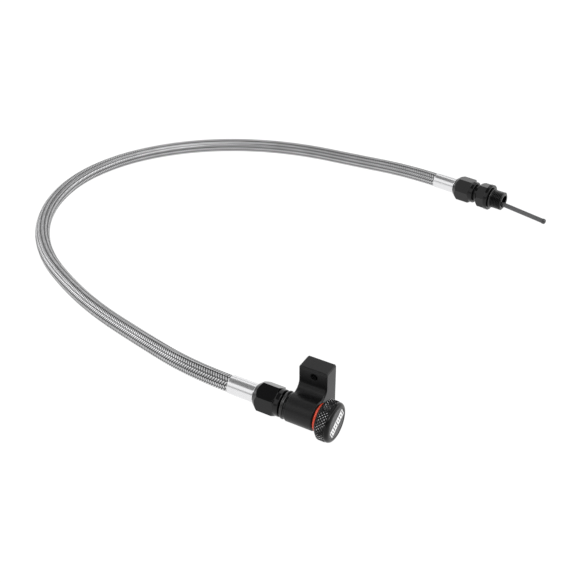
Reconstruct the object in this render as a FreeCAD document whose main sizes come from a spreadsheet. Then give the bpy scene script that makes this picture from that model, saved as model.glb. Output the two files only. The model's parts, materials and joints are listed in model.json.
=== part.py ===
import FreeCAD, Part
import Sketcher
import math
import os

# A flexible dipstick in its tube: a braided hose between a firewall bracket and a threaded
# adapter, with a steel stick inside it that is pulled out by a knurled cap.
# Frame: +X runs along the bracket's barrel towards the cap, +Y towards the bracket's
# mounting face, +Z up. The floor is z = 0 and the origin is the middle of the bracket
# end's footprint, so that the cap's rim and the hose stand on z = 0.
# Two local frames are used. Both have their origin on the axis where the hose enters its
# crimp collar, and +X away from the hose: the near one at the bracket, the far one at the
# adapter.

os.makedirs("parts", exist_ok=True)
doc = FreeCAD.newDocument("flexible_dipstick")

# ---------------------------------------------------------------- driving dimensions, mm
DIMENSIONS = {
    # hose
    "hose_radius": 6.0,
    "liner_radius": 5.35,
    "liner_bore": 4.35,
    "hose_end_taper": 4.0,
    "crimp_mouth_radius": 5.7,
    "crimp_mouth_liner": 5.1,
    "crimped_radius": 5.3,
    "crimped_liner": 4.85,
    "crimp_ramp": 3.0,
    "crimp_depth": 17.4,
    # crimp collar and hose stem
    "collar_length": 20.2,
    "collar_lip": 0.4,
    "collar_mouth_radius": 6.35,
    "collar_end_radius": 6.55,
    "stem_start": 1.5,
    "stem_bore": 3.8,
    "stem_neck": 5.0,
    "stem_head": 6.5,
    "stem_head_start": 28.6,
    "stem_head_end": 33.1,
    "seat_radius": 6.0,
    "seat_start": 30.2,
    # swivel nut and the wire that holds it
    "nut_start": 20.6,
    "nut_length": 19.5,
    "nut_across_corners": 22.0,
    "nut_face_radius": 7.6,
    "nut_chamfer": 4.4,
    "nut_shoulder": 3.0,
    "nut_shoulder_radius": 9.3,
    "nut_rear_chamfer": 1.2,
    "nut_lip_bore": 5.08,
    "nut_thread_bore": 7.2,
    "nut_inner_step": 7.9,
    "wire_place": 26.1,
    "wire_radius": 0.58,
    "wire_ring": 5.04,
    "wire_groove_half": 0.68,
    "stem_groove": 4.38,
    "nut_groove": 5.75,
    # flare end that both adapters share
    "flare_start": 31.3,
    "flare_tip_radius": 4.55,
    "flare_root": 33.5,
    "flare_root_radius": 6.2,
    "flare_thread_radius": 7.14,
    "flare_thread_start": 34.4,
    "flare_thread_end": 41.0,
    "flare_bore": 4.0,
    # bracket port adapter
    "port_hub_radius": 7.0,
    "port_flange_radius": 9.0,
    "port_flange": 1.0,
    "port_flange_place": 4.8,
    "port_thread_length": 8.6,
    "port_seal_section": 1.3,
    "port_seal_ring": 8.4,
    "port_seal_place": 42.5,
    # far adapter
    "far_neck_radius": 6.6,
    "far_hex_start": 44.0,
    "far_hex_end": 51.8,
    "far_hex_chamfer": 1.6,
    "far_flange_end": 55.4,
    "far_flange_radius": 11.25,
    "far_relief_radius": 7.0,
    "far_relief_end": 57.6,
    "far_thread_radius": 8.0,
    "far_thread_end": 67.3,
    "far_mouth_bore": 5.3,
    "far_mouth_depth": 13.2,
    "far_seal_section": 0.95,
    "far_seal_ring": 7.98,
    "far_seal_place": 56.4,
    # bracket
    "barrel_length": 20.6,
    "barrel_radius": 10.0,
    "plate_front": 10.8,
    "plate_back": 24.3,
    "plate_top": 25.9,
    "web_fillet": 5.5,
    "plate_edge_round": 1.6,
    "bracket_chamfer": 0.9,
    "bolt_hole_radius": 2.6,
    "bolt_hole_up": 20.7,
    "bolt_hole_from_cap": 9.3,
    "port_depth": 8.9,
    "plug_bore": 6.0,
    "plug_bore_depth": 10.5,
    "web_bore": 4.4,
    # cap, from the barrel's cap end
    "plug_length": 10.0,
    "plug_radius": 5.95,
    "plug_groove": 4.45,
    "plug_groove_place": 5.6,
    "plug_groove_half": 0.9,
    "plug_seal_section": 0.75,
    "plug_seal_ring": 5.2,
    "hub_start": 0.4,
    "hub_radius": 7.25,
    "knob_rear": 2.6,
    "knob_rear_radius": 11.4,
    "knob_rim": 4.9,
    "knob_radius": 13.9,
    "knurl_end": 10.3,
    "bezel_radius": 13.6,
    "knob_front": 13.3,
    "knob_front_radius": 11.5,
    "badge_recess": 0.8,
    "badge_recess_radius": 10.4,
    "badge_radius": 10.3,
    "badge_thickness": 0.6,
    "bar_length": 18.2,
    "bar_width": 6.6,
    "bar_thickness": 0.15,
    "stud_radius": 4.0,
    "stud_end": 9.0,
    "face_seal_section": 1.2,
    "face_seal_ring": 8.5,
    "face_seal_place": 1.35,
    # stick
    "stick_radius": 2.0,
    "ferrule_radius": 3.2,
    "ferrule_bore": 3.25,
    "ferrule_length": 10.4,
    "ferrule_groove": 2.7,
    "screw_place": 2.0,
    "screw_radius": 1.5,
    "screw_tip": 2.8,
    "screw_head": 5.6,
    "screw_socket": 0.75,
    "screw_groove_half": 1.6,
    "upper_stick_end": 63.6,
    "stick_joint_gap": 0.3,
    "tip_inside": 7.0,
    "tip_outside": 41.5,
    "tip_bead_radius": 2.25,
    "tip_bead_length": 3.2,
}
# Where the near local frame stands in the part's own frame
NEAR_EXIT = FreeCAD.Vector(-39.4, -5.2, 13.9)
# Turn of each swivel nut about its axis, degrees from a corner pointing straight up
NEAR_NUT_TURN = -4.0
FAR_NUT_TURN = 20.0
# The free end of the stick: its lean from the axis, degrees, how far off the axis it leaves the
# mouth, mm, and how far the side it leans to is turned about the axis from straight down
TIP_DROOP = 4.6
TIP_MOUTH_DROP = 2.45
TIP_TURN = -30.6
# Turn of the badge's bar about the cap's axis, degrees
BAR_TURN = 28.7

# The hose's route: the first point is the near exit, the last the far exit.
ROUTE = [
    (-39.4, -5.2, 13.9),
    (-71.6, -5.2, 13.9),
    (-125.6, 9.3, 10.2),
    (-176.6, 24.3, 7.0),
    (-219.8, 41.8, 6.0),
    (-260.9, 63.9, 6.0),
    (-294.6, 95.3, 6.0),
    (-317.6, 136.3, 6.0),
    (-325.6, 182.3, 6.0),
    (-315.6, 228.3, 6.0),
    (-291.6, 267.7, 6.0),
    (-257.6, 299.7, 6.0),
    (-214.0, 323.5, 6.0),
    (-168.0, 336.3, 6.0),
    (-118.0, 338.5, 6.9),
    (-61.8, 335.8, 11.25),
    (-32.0, 332.1, 11.25),
]
ARC_SHARE = 0.45          # share of the shorter run that an arc takes up

sheet = doc.addObject("Spreadsheet::Sheet", "Sizes")
for row, (alias, number) in enumerate(DIMENSIONS.items(), start=1):
    sheet.set(f"A{row}", alias)
    sheet.set(f"B{row}", str(number))
    sheet.setAlias(f"B{row}", alias)
doc.recompute()


class Size:
    """A length with the sheet expression that gives it, so that features can be bound to it."""

    def __init__(self, number, text):
        self.number = number
        self.text = text

    def _join(self, other, sign, number):
        text = other.text if isinstance(other, Size) else repr(other)
        return Size(number, f"({self.text} {sign} {text})")

    def __add__(self, other):
        return self._join(other, "+", self.number + value(other))

    def __sub__(self, other):
        return self._join(other, "-", self.number - value(other))

    def __mul__(self, other):
        return self._join(other, "*", self.number * value(other))


def value(length):
    return length.number if isinstance(length, Size) else float(length)


def text_of(length):
    return length.text if isinstance(length, Size) else repr(float(length))


def size(alias):
    return Size(float(sheet.get(alias)), f"Sizes.{alias}")


def bind(thing, prop, length):
    thing.setExpression(prop, text_of(length))


# ---------------------------------------------------------------- places
near_place = FreeCAD.Placement(NEAR_EXIT, FreeCAD.Rotation())
far_exit = FreeCAD.Vector(*ROUTE[-1])
far_run = far_exit - FreeCAD.Vector(*ROUTE[-2])
far_heading = math.degrees(math.atan2(far_run.y, far_run.x))
far_place = FreeCAD.Placement(far_exit, FreeCAD.Rotation(FreeCAD.Vector(0, 0, 1), far_heading))

barrel_rear = size("nut_start") + size("nut_length") + size("port_flange_place")
barrel_end = barrel_rear + size("barrel_length")
cap_place = near_place.multiply(
    FreeCAD.Placement(FreeCAD.Vector(value(barrel_end), 0, 0), FreeCAD.Rotation()))
ALONG_X = FreeCAD.Rotation(FreeCAD.Vector(0, 1, 0), 90)

nodes = {}


def keep(thing, label, place=None):
    """Name a finished sub-part and put it in its place."""
    thing.Label = label
    if place is not None:
        thing.Placement = place
    nodes[label] = thing
    return thing


def origin_plane(body, role):
    return next(item for item in body.Origin.OriginFeatures if item.Role == role)


def polygon_sketch(body, name, plane, outline):
    """A closed outline of straight lines, each corner bound to the sheet."""
    sketch = body.newObject("Sketcher::SketchObject", name)
    sketch.AttachmentSupport = (origin_plane(body, plane), [""])
    sketch.MapMode = "FlatFace"
    corners = [FreeCAD.Vector(value(across), value(up), 0) for across, up in outline]
    for index, corner in enumerate(corners):
        following = corners[(index + 1) % len(corners)]
        sketch.addGeometry(Part.LineSegment(corner, following), False)
    for index in range(len(corners)):
        following = (index + 1) % len(corners)
        sketch.addConstraint(Sketcher.Constraint("Coincident", index, 2, following, 1))
    for index, (across, up) in enumerate(outline):
        for kind, length, axis in (("DistanceX", across, -2), ("DistanceY", up, -1)):
            if value(length) == 0.0:
                sketch.addConstraint(Sketcher.Constraint("PointOnObject", index, 1, axis))
                continue
            rule = Sketcher.Constraint(kind, -1, 1, index, 1, value(length))
            number = sketch.addConstraint(rule)
            if isinstance(length, Size):
                bind(sketch, f"Constraints[{number}]", length)
    return sketch


def turned(name, outline):
    """A turned piece: its half outline, given as (along the axis, radius), revolved about X."""
    body = doc.addObject("PartDesign::Body", name)
    sketch = polygon_sketch(body, name + "_outline", "XZ_Plane", outline)
    turn = body.newObject("PartDesign::Revolution", name + "_turn")
    turn.Profile = sketch
    turn.ReferenceAxis = (sketch, ["H_Axis"])
    turn.Angle = 360.0
    sketch.Visibility = False
    return body


def hex_bar(name, across_corners, length, turn):
    """A hexagonal bar along +X from the origin, one corner straight up before its turn."""
    bar = doc.addObject("Part::Prism", name)
    bar.Polygon = 6
    bind(bar, "Circumradius", across_corners * 0.5)
    bind(bar, "Height", length)
    roll = FreeCAD.Rotation(FreeCAD.Vector(1, 0, 0), turn)
    bar.Placement = FreeCAD.Placement(FreeCAD.Vector(), roll.multiply(ALONG_X))
    return bar


def common(name, first, second):
    both = doc.addObject("Part::MultiCommon", name)
    both.Shapes = [first, second]
    return both


def ring(label, ring_radius, section, along, place):
    """A round ring about X, its middle at a distance along the axis."""
    torus = doc.addObject("Part::Torus", label)
    bind(torus, "Radius1", ring_radius)
    bind(torus, "Radius2", section)
    shift = FreeCAD.Placement(FreeCAD.Vector(value(along), 0, 0), ALONG_X)
    keep(torus, label, place.multiply(shift))


# ---------------------------------------------------------------- hose ends: one at each end
def crimp_collar(name, place):
    """The polished sleeve that is crimped over the hose; its lip closes round the stem."""
    outline = [
        (0, size("crimp_mouth_radius")),
        (size("crimp_ramp"), size("crimped_radius")),
        (size("crimp_depth"), size("crimped_radius")),
        (size("crimp_depth"), size("stem_neck")),
        (size("collar_length"), size("stem_neck")),
        (size("collar_length"), size("collar_end_radius") - 0.5),
        (size("collar_length") - 0.5, size("collar_end_radius")),
        (size("collar_lip"), size("collar_mouth_radius") + 0.1),
        (0, size("collar_mouth_radius") - 0.1),
    ]
    keep(turned(name, outline), name, place)


def hose_stem(name, place):
    """The barbed tube inside the hose, with a neck for the nut and a coned head."""
    half = size("wire_groove_half")
    outline = [
        (size("stem_start"), size("stem_bore")),
        (size("stem_start"), size("liner_bore") - 0.3),
        (size("stem_start") + 0.8, size("liner_bore")),
        (size("crimp_depth"), size("liner_bore")),
        (size("crimp_depth"), size("stem_neck")),
        (size("wire_place") - half, size("stem_neck")),
        (size("wire_place") - half, size("stem_groove")),
        (size("wire_place") + half, size("stem_groove")),
        (size("wire_place") + half, size("stem_neck")),
        (size("stem_head_start"), size("stem_neck")),
        (size("stem_head_start"), size("stem_head")),
        (size("stem_head_end"), size("stem_head")),
        (size("stem_head_end"), size("seat_radius")),
        (size("seat_start"), size("stem_bore")),
    ]
    keep(turned(name, outline), name, place)


def swivel_nut(name, place, turn):
    """The hexagonal coupling nut: a hexagonal bar cut by its turned outline."""
    start = size("nut_start")
    end = start + size("nut_length")
    half = size("wire_groove_half")
    corner = size("nut_across_corners") * 0.5
    outline = [
        (start, size("nut_lip_bore") + 0.5),
        (start + 0.5, size("nut_lip_bore")),
        (size("wire_place") - half, size("nut_lip_bore")),
        (size("wire_place") - half, size("nut_groove")),
        (size("wire_place") + half, size("nut_groove")),
        (size("wire_place") + half, size("nut_lip_bore")),
        (start + size("nut_inner_step"), size("nut_lip_bore")),
        (start + size("nut_inner_step"), size("nut_thread_bore")),
        (end - 0.8, size("nut_thread_bore")),
        (end, size("nut_thread_bore") + 0.8),
        (end, size("nut_shoulder_radius") - 0.4),
        (end - 0.4, size("nut_shoulder_radius")),
        (end - size("nut_shoulder"), size("nut_shoulder_radius")),
        (end - size("nut_shoulder") - size("nut_rear_chamfer"), corner + 0.1),
        (start + size("nut_chamfer"), corner + 0.1),
        (start, size("nut_face_radius")),
    ]
    bar = hex_bar(name + "_bar", size("nut_across_corners"), end + 1.0, turn)
    nut = common(name + "_cut", turned(name + "_turning", outline), bar)
    keep(nut, name, place)


def flare_end(bore):
    """Outline points of the coned and threaded end that a swivel nut draws up, seat first."""
    return [
        (size("flare_start"), bore),
        (size("flare_start"), size("flare_tip_radius")),
        (size("flare_root"), size("flare_root_radius")),
        (size("flare_thread_start") - 0.6, size("flare_root_radius")),
        (size("flare_thread_start"), size("flare_thread_radius")),
        (size("flare_thread_end"), size("flare_thread_radius")),
    ]


ENDS = (("near", near_place, NEAR_NUT_TURN), ("far", far_place, FAR_NUT_TURN))
for end_name, end_place, nut_turn in ENDS:
    crimp_collar(f"{end_name}_crimp_collar", end_place)
    hose_stem(f"{end_name}_hose_stem", end_place)
    swivel_nut(f"{end_name}_swivel_nut", end_place, nut_turn)
    ring(f"{end_name}_nut_wire", size("wire_ring"), size("wire_radius"), size("wire_place"),
         end_place)


# ---------------------------------------------------------------- adapters
def port_adapter():
    """The male flare adapter screwed into the back of the bracket's barrel."""
    thread_end = barrel_rear + size("port_thread_length")
    outline = flare_end(size("stem_bore")) + [
        (size("flare_thread_end"), size("port_hub_radius")),
        (barrel_rear - size("port_flange"), size("port_hub_radius")),
        (barrel_rear - size("port_flange"), size("port_flange_radius")),
        (barrel_rear, size("port_flange_radius")),
        (barrel_rear, size("flare_thread_radius")),
        (thread_end - 0.8, size("flare_thread_radius")),
        (thread_end, size("flare_thread_radius") - 0.8),
        (thread_end, size("stem_bore")),
    ]
    keep(turned("port_adapter", outline), "port_adapter", near_place)
    ring("port_seal", size("port_seal_ring"), size("port_seal_section"),
         size("port_seal_place"), near_place)


def far_adapter():
    """The adapter that screws into the engine or gearbox: hexagon, flange and male thread."""
    corner = size("nut_across_corners") * 0.5
    thread_end = size("far_thread_end")
    bore_step = thread_end - size("far_mouth_depth")
    outline = flare_end(size("flare_bore")) + [
        (size("flare_thread_end"), size("far_neck_radius")),
        (size("far_hex_start"), size("far_neck_radius")),
        (size("far_hex_start"), corner - size("far_hex_chamfer")),
        (size("far_hex_start") + size("far_hex_chamfer"), corner + 0.1),
        (size("far_hex_end"), corner + 0.1),
        (size("far_hex_end"), size("far_neck_radius")),
        (thread_end - 1.0, size("far_neck_radius")),
        (thread_end - 1.0, size("far_mouth_bore")),
        (bore_step, size("far_mouth_bore")),
        (bore_step, size("flare_bore")),
    ]
    bar = hex_bar("far_adapter_bar", size("nut_across_corners"), thread_end, FAR_NUT_TURN)
    hexagon = common("far_adapter_hexagon", turned("far_adapter_turning", outline), bar)
    shank = turned("far_adapter_shank", [
        (size("far_hex_end"), size("far_mouth_bore") + 0.5),
        (size("far_hex_end"), size("far_flange_radius") - 0.4),
        (size("far_hex_end") + 0.4, size("far_flange_radius")),
        (size("far_flange_end") - 0.5, size("far_flange_radius")),
        (size("far_flange_end"), size("far_flange_radius") - 0.5),
        (size("far_flange_end"), size("far_relief_radius")),
        (size("far_relief_end"), size("far_relief_radius")),
        (size("far_relief_end") + 1.0, size("far_thread_radius")),
        (thread_end - 1.2, size("far_thread_radius")),
        (thread_end, size("far_thread_radius") - 1.2),
        (thread_end, size("far_mouth_bore")),
        (bore_step + 0.5, size("far_mouth_bore")),
        (bore_step + 0.5, size("far_mouth_bore") + 0.5),
    ])
    whole = doc.addObject("Part::MultiFuse", "far_adapter_whole")
    whole.Shapes = [hexagon, shank]
    keep(whole, "far_adapter", far_place)
    ring("far_seal", size("far_seal_ring"), size("far_seal_section"), size("far_seal_place"),
         far_place)


port_adapter()
far_adapter()


# ---------------------------------------------------------------- bracket
def bracket_outline(body):
    """The bracket's end view: barrel circle, fillet up to the plate, and the plate."""
    radius = value(size("barrel_radius"))
    fillet = value(size("web_fillet"))
    front = value(size("plate_front"))
    back = value(size("plate_back"))
    top = value(size("plate_top"))
    fillet_across = front - fillet
    fillet_up = math.sqrt((radius + fillet) ** 2 - fillet_across ** 2)
    touch = math.atan2(fillet_up, fillet_across)
    vector = FreeCAD.Vector
    sketch = body.newObject("Sketcher::SketchObject", "bracket_outline")
    sketch.AttachmentSupport = (origin_plane(body, "YZ_Plane"), [""])
    sketch.MapMode = "FlatFace"
    barrel_circle = Part.Circle(vector(0, 0, 0), vector(0, 0, 1), radius)
    fillet_circle = Part.Circle(vector(fillet_across, fillet_up, 0), vector(0, 0, 1), fillet)
    sketch.addGeometry([
        Part.ArcOfCircle(barrel_circle, touch, 1.5 * math.pi),
        Part.LineSegment(vector(0, -radius, 0), vector(back, -radius, 0)),
        Part.LineSegment(vector(back, -radius, 0), vector(back, top, 0)),
        Part.LineSegment(vector(back, top, 0), vector(front, top, 0)),
        Part.LineSegment(vector(front, top, 0), vector(front, fillet_up, 0)),
        Part.ArcOfCircle(fillet_circle, touch + math.pi, 2.0 * math.pi),
    ], False)
    barrel, bottom, back_line, top_line, front_line, web = range(6)
    rules = [
        ("Coincident", barrel, 3, -1, 1),
        ("Tangent", barrel, 2, bottom, 1),
        ("Coincident", bottom, 2, back_line, 1),
        ("Coincident", back_line, 2, top_line, 1),
        ("Coincident", top_line, 2, front_line, 1),
        ("Tangent", front_line, 2, web, 2),
        ("Tangent", web, 1, barrel, 1),
        ("Horizontal", bottom),
        ("Vertical", back_line),
        ("Horizontal", top_line),
        ("Vertical", front_line),
    ]
    for rule in rules:
        sketch.addConstraint(Sketcher.Constraint(*rule))
    measures = [
        (("Radius", barrel, radius), "barrel_radius"),
        (("Radius", web, fillet), "web_fillet"),
        (("DistanceX", -1, 1, back_line, 2, back), "plate_back"),
        (("DistanceX", -1, 1, top_line, 2, front), "plate_front"),
        (("DistanceY", -1, 1, top_line, 1, top), "plate_top"),
    ]
    for rule, alias in measures:
        number = sketch.addConstraint(Sketcher.Constraint(*rule))
        bind(sketch, f"Constraints[{number}]", size(alias))
    return sketch


def edges_where(shape, test):
    return [f"Edge{number}" for number, edge in enumerate(shape.Edges, start=1) if test(edge)]


def bracket():
    """The bracket, its local origin on the barrel's axis at the cap end, material towards -X."""
    body = doc.addObject("PartDesign::Body", "bracket")
    sketch = bracket_outline(body)
    pad = body.newObject("PartDesign::Pad", "bracket_pad")
    pad.Profile = sketch
    bind(pad, "Length", size("barrel_length"))
    pad.Reversed = True
    sketch.Visibility = False
    doc.recompute()
    length = value(size("barrel_length"))
    top = value(size("plate_top"))

    def long_top_edge(edge):
        box = edge.BoundBox
        return box.XLength > length - 0.1 and box.ZMin > top - 0.1

    def bottom_back_edge(edge):
        box = edge.BoundBox
        return box.XLength > length - 0.1 and box.YMin > value(size("plate_back")) - 0.1

    rounded = body.newObject("PartDesign::Fillet", "bracket_rounds")
    corner_edges = edges_where(pad.Shape, lambda e: long_top_edge(e) or bottom_back_edge(e))
    rounded.Base = (pad, sorted(set(corner_edges)))
    bind(rounded, "Radius", size("plate_edge_round"))
    doc.recompute()

    def end_face_edge(edge):
        return edge.BoundBox.XLength < 0.01

    bevelled = body.newObject("PartDesign::Chamfer", "bracket_bevels")
    bevelled.Base = (rounded, edges_where(rounded.Shape, end_face_edge))
    bind(bevelled, "Size", size("bracket_chamfer"))
    doc.recompute()

    port_face = size("barrel_length") * -1.0
    bore = polygon_sketch(body, "bracket_bores", "XZ_Plane", [
        (port_face - 1.0, 0),
        (port_face - 1.0, size("flare_thread_radius")),
        (port_face + size("port_depth"), size("flare_thread_radius")),
        (port_face + size("port_depth"), size("web_bore")),
        (size("plug_bore_depth") * -1.0, size("web_bore")),
        (size("plug_bore_depth") * -1.0, size("plug_bore")),
        (-0.5, size("plug_bore")),
        (0, size("plug_bore") + 0.5),
        (1.0, size("plug_bore") + 0.5),
        (1.0, 0),
    ])
    groove = body.newObject("PartDesign::Groove", "bracket_bore_cut")
    groove.Profile = bore
    groove.ReferenceAxis = (bore, ["H_Axis"])
    groove.Angle = 360.0
    bore.Visibility = False
    doc.recompute()

    hole_sketch = body.newObject("Sketcher::SketchObject", "bolt_hole_circle")
    hole_sketch.AttachmentSupport = (origin_plane(body, "XZ_Plane"), [""])
    hole_sketch.MapMode = "FlatFace"
    along = size("bolt_hole_from_cap") * -1.0
    up = size("bolt_hole_up")
    radius = size("bolt_hole_radius")
    centre = FreeCAD.Vector(value(along), value(up), 0)
    hole_sketch.addGeometry(Part.Circle(centre, FreeCAD.Vector(0, 0, 1), value(radius)), False)
    for rule, length in (
        (("DistanceX", -1, 1, 0, 3, value(along)), along),
        (("DistanceY", -1, 1, 0, 3, value(up)), up),
        (("Radius", 0, value(radius)), radius),
    ):
        number = hole_sketch.addConstraint(Sketcher.Constraint(*rule))
        bind(hole_sketch, f"Constraints[{number}]", length)
    hole = body.newObject("PartDesign::Pocket", "bolt_hole")
    hole.Profile = hole_sketch
    hole.Type = "ThroughAll"
    hole.Midplane = True
    hole_sketch.Visibility = False
    doc.recompute()
    removed = groove.Shape.Volume - hole.Shape.Volume
    depth = value(size("plate_back")) - value(size("plate_front"))
    expected = math.pi * value(radius) ** 2 * depth
    print(f"bolt hole removes {removed:.1f} mm3, a drilled plate loses {expected:.1f} mm3")
    assert abs(removed - expected) < 1.0
    assert bevelled.Shape.Volume - groove.Shape.Volume > 1000.0
    keep(body, "bracket_body", cap_place)


bracket()


# ---------------------------------------------------------------- cap
def cap():
    """The knurled cap with its plug, seals, badge and the screw that keeps it on the stick.
    Local origin: the barrel's cap end."""
    half = size("plug_groove_half")
    groove = size("plug_groove_place") * -1.0
    inner = size("plug_length") * -1.0
    ferrule_end = inner + size("ferrule_length") + 0.2
    plug = turned("cap_plug_turning", [
        (inner, size("ferrule_bore")),
        (inner, size("plug_radius") - 0.6),
        (inner + 0.6, size("plug_radius")),
        (groove - half, size("plug_radius")),
        (groove - half, size("plug_groove")),
        (groove + half, size("plug_groove")),
        (groove + half, size("plug_radius")),
        (size("hub_start"), size("plug_radius")),
        (size("hub_start"), size("hub_radius")),
        (size("knob_rear"), size("hub_radius")),
        (size("knob_rear"), size("stud_radius")),
        (size("stud_end"), size("stud_radius")),
        (size("stud_end"), 0),
        (ferrule_end, 0),
        (ferrule_end, size("ferrule_bore")),
    ])
    drill = doc.addObject("Part::Cylinder", "screw_hole")
    bind(drill, "Radius", size("screw_radius"))
    drill.Height = 10.0
    screw_along = value(size("screw_place")) * -1.0
    drill.Placement = FreeCAD.Placement(FreeCAD.Vector(screw_along, 0, 0), FreeCAD.Rotation())
    drilled = doc.addObject("Part::Cut", "cap_plug_drilled")
    drilled.Base = plug
    drilled.Tool = drill
    keep(drilled, "cap_plug", cap_place)
    ring("plug_seal", size("plug_seal_ring"), size("plug_seal_section"), groove, cap_place)
    ring("face_seal", size("face_seal_ring"), size("face_seal_section"),
         size("face_seal_place"), cap_place)

    screw_body = doc.addObject("Part::Cylinder", "grub_screw_body")
    bind(screw_body, "Radius", size("screw_radius"))
    bind(screw_body, "Height", size("screw_head") - size("screw_tip"))
    socket = doc.addObject("Part::Prism", "grub_screw_socket")
    socket.Polygon = 6
    bind(socket, "Circumradius", size("screw_socket"))
    socket.Height = 2.0
    socket.Placement.Base.z = value(size("screw_head")) - value(size("screw_tip")) - 1.4
    grub = doc.addObject("Part::Cut", "grub_screw")
    grub.Base = screw_body
    grub.Tool = socket
    screw_spot = FreeCAD.Vector(screw_along, 0, value(size("screw_tip")))
    keep(grub, "swivel_set_screw",
         cap_place.multiply(FreeCAD.Placement(screw_spot, FreeCAD.Rotation())))

    front = size("knob_front")
    floor = front - size("badge_recess")
    knob = turned("knob_turning", [
        (size("knob_rear"), size("stud_radius")),
        (size("knob_rear"), size("knob_rear_radius")),
        (size("knob_rim"), size("knob_radius")),
        (size("knurl_end"), size("knob_radius")),
        (size("knurl_end") + 0.3, size("bezel_radius")),
        (front - 0.5, size("knob_front_radius") + 0.1),
        (front, size("knob_front_radius") - 0.4),
        (front, size("badge_recess_radius")),
        (floor, size("badge_recess_radius")),
        (floor, 0),
        (size("stud_end"), 0),
        (size("stud_end"), size("stud_radius")),
    ])
    keep(knob, "cap_knob", cap_place)
    badge = turned("badge_turning", [
        (floor, 0),
        (floor, size("badge_radius")),
        (floor + size("badge_thickness"), size("badge_radius")),
        (floor + size("badge_thickness"), 0),
    ])
    keep(badge, "cap_badge", cap_place)
    bar = doc.addObject("Part::Box", "badge_bar_box")
    bind(bar, "Length", size("bar_thickness"))
    bind(bar, "Width", size("bar_length"))
    bind(bar, "Height", size("bar_width"))
    spin = FreeCAD.Rotation(FreeCAD.Vector(1, 0, 0), BAR_TURN)
    corner = FreeCAD.Vector(0, -value(size("bar_length")) / 2, -value(size("bar_width")) / 2)
    face = value(floor) + value(size("badge_thickness"))
    spot = FreeCAD.Vector(face, 0, 0) + spin.multVec(corner)
    keep(bar, "badge_bar", cap_place.multiply(FreeCAD.Placement(spot, spin)))


cap()


# ---------------------------------------------------------------- hose and stick
def route_wire(points):
    """Straight runs joined by tangent arcs, each as large as its two runs allow."""
    corners = [FreeCAD.Vector(*point) for point in points]
    edges = []
    start = corners[0]
    radii = []
    for before, corner, after in zip(corners, corners[1:], corners[2:]):
        back = before - corner
        ahead = after - corner
        half_turn = (math.pi - back.getAngle(ahead)) / 2
        reach = ARC_SHARE * min(back.Length, ahead.Length)
        radius = reach / math.tan(half_turn)
        radii.append(radius)
        back.normalize()
        ahead.normalize()
        entry = corner + back * reach
        leave = corner + ahead * reach
        middle = (back + ahead).normalize()
        depth = radius / math.cos(half_turn) - radius
        edges.append(Part.LineSegment(start, entry).toShape())
        edges.append(Part.Arc(entry, corner + middle * depth, leave).toShape())
        start = leave
    edges.append(Part.LineSegment(start, corners[-1]).toShape())
    return Part.Wire(edges), radii


def tube(wire, outer, inner):
    """A tube, or a solid round bar where inner is 0, along a wire."""
    start = wire.Edges[0].valueAt(wire.Edges[0].FirstParameter)
    along = wire.Edges[0].tangentAt(wire.Edges[0].FirstParameter)
    rings = [Part.Wire(Part.Circle(start, along, outer).toShape())]
    if inner:
        rings.append(Part.Wire(Part.Circle(start, along, inner).toShape()))
    section = Part.Face(rings, "Part::FaceMakerBullseye")
    shape = wire.makePipe(section)
    expected = math.pi * (outer ** 2 - inner ** 2) * wire.Length
    print(f"tube {shape.Volume:.0f} mm3, section times length {expected:.0f} mm3")
    assert abs(shape.Volume - expected) < 0.01 * expected
    return shape


def revolved(points):
    """A plain solid of revolution about the local X axis."""
    corners = [FreeCAD.Vector(along, 0, radius) for along, radius in points]
    face = Part.Face(Part.makePolygon(corners + corners[:1]))
    return face.revolve(FreeCAD.Vector(), FreeCAD.Vector(1, 0, 0), 360)


def placed_feature(label, shape):
    feature = doc.addObject("Part::Feature", label)
    feature.Shape = shape
    keep(feature, label)


def hose_layer(label, outer, inner, mouth, crimped, mouth_inner, crimped_inner):
    """One layer of the hose: a tube along the route with its ends squeezed into the collars."""
    taper = value(size("hose_end_taper"))
    depth = value(size("crimp_depth"))
    ramp = value(size("crimp_ramp"))
    end_outline = [
        (-taper, inner), (-taper, outer), (0, mouth), (ramp, crimped), (depth, crimped),
        (depth, crimped_inner), (ramp, crimped_inner), (0, mouth_inner),
    ]
    first = FreeCAD.Vector(*ROUTE[0])
    first_run = (FreeCAD.Vector(*ROUTE[1]) - first).normalize()
    last = FreeCAD.Vector(*ROUTE[-1])
    last_run = (FreeCAD.Vector(*ROUTE[-2]) - last).normalize()
    whole = [tuple(first + first_run * taper)] + ROUTE[1:-1] + [tuple(last + last_run * taper)]
    wire, radii = route_wire(whole)
    shape = tube(wire, outer, inner)
    for place in (near_place, far_place):
        squeezed = revolved(end_outline)
        squeezed.Placement = place
        shape = shape.fuse(squeezed)
    placed_feature(label, shape.removeSplitter())
    return wire, radii


route_line, bend_radii = hose_layer(
    "hose_braid", value(size("hose_radius")), value(size("liner_radius")),
    value(size("crimp_mouth_radius")), value(size("crimped_radius")),
    value(size("crimp_mouth_liner")), value(size("crimped_liner")))
bore = value(size("liner_bore"))
hose_layer(
    "hose_liner", value(size("liner_radius")), bore, value(size("crimp_mouth_liner")),
    value(size("crimped_liner")), bore, bore)
print("bend radii, mm:", " ".join(f"{radius:.0f}" for radius in bend_radii))
print(f"hose line between the collars {route_line.Length + 2 * DIMENSIONS['hose_end_taper']:.1f} mm")

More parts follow.
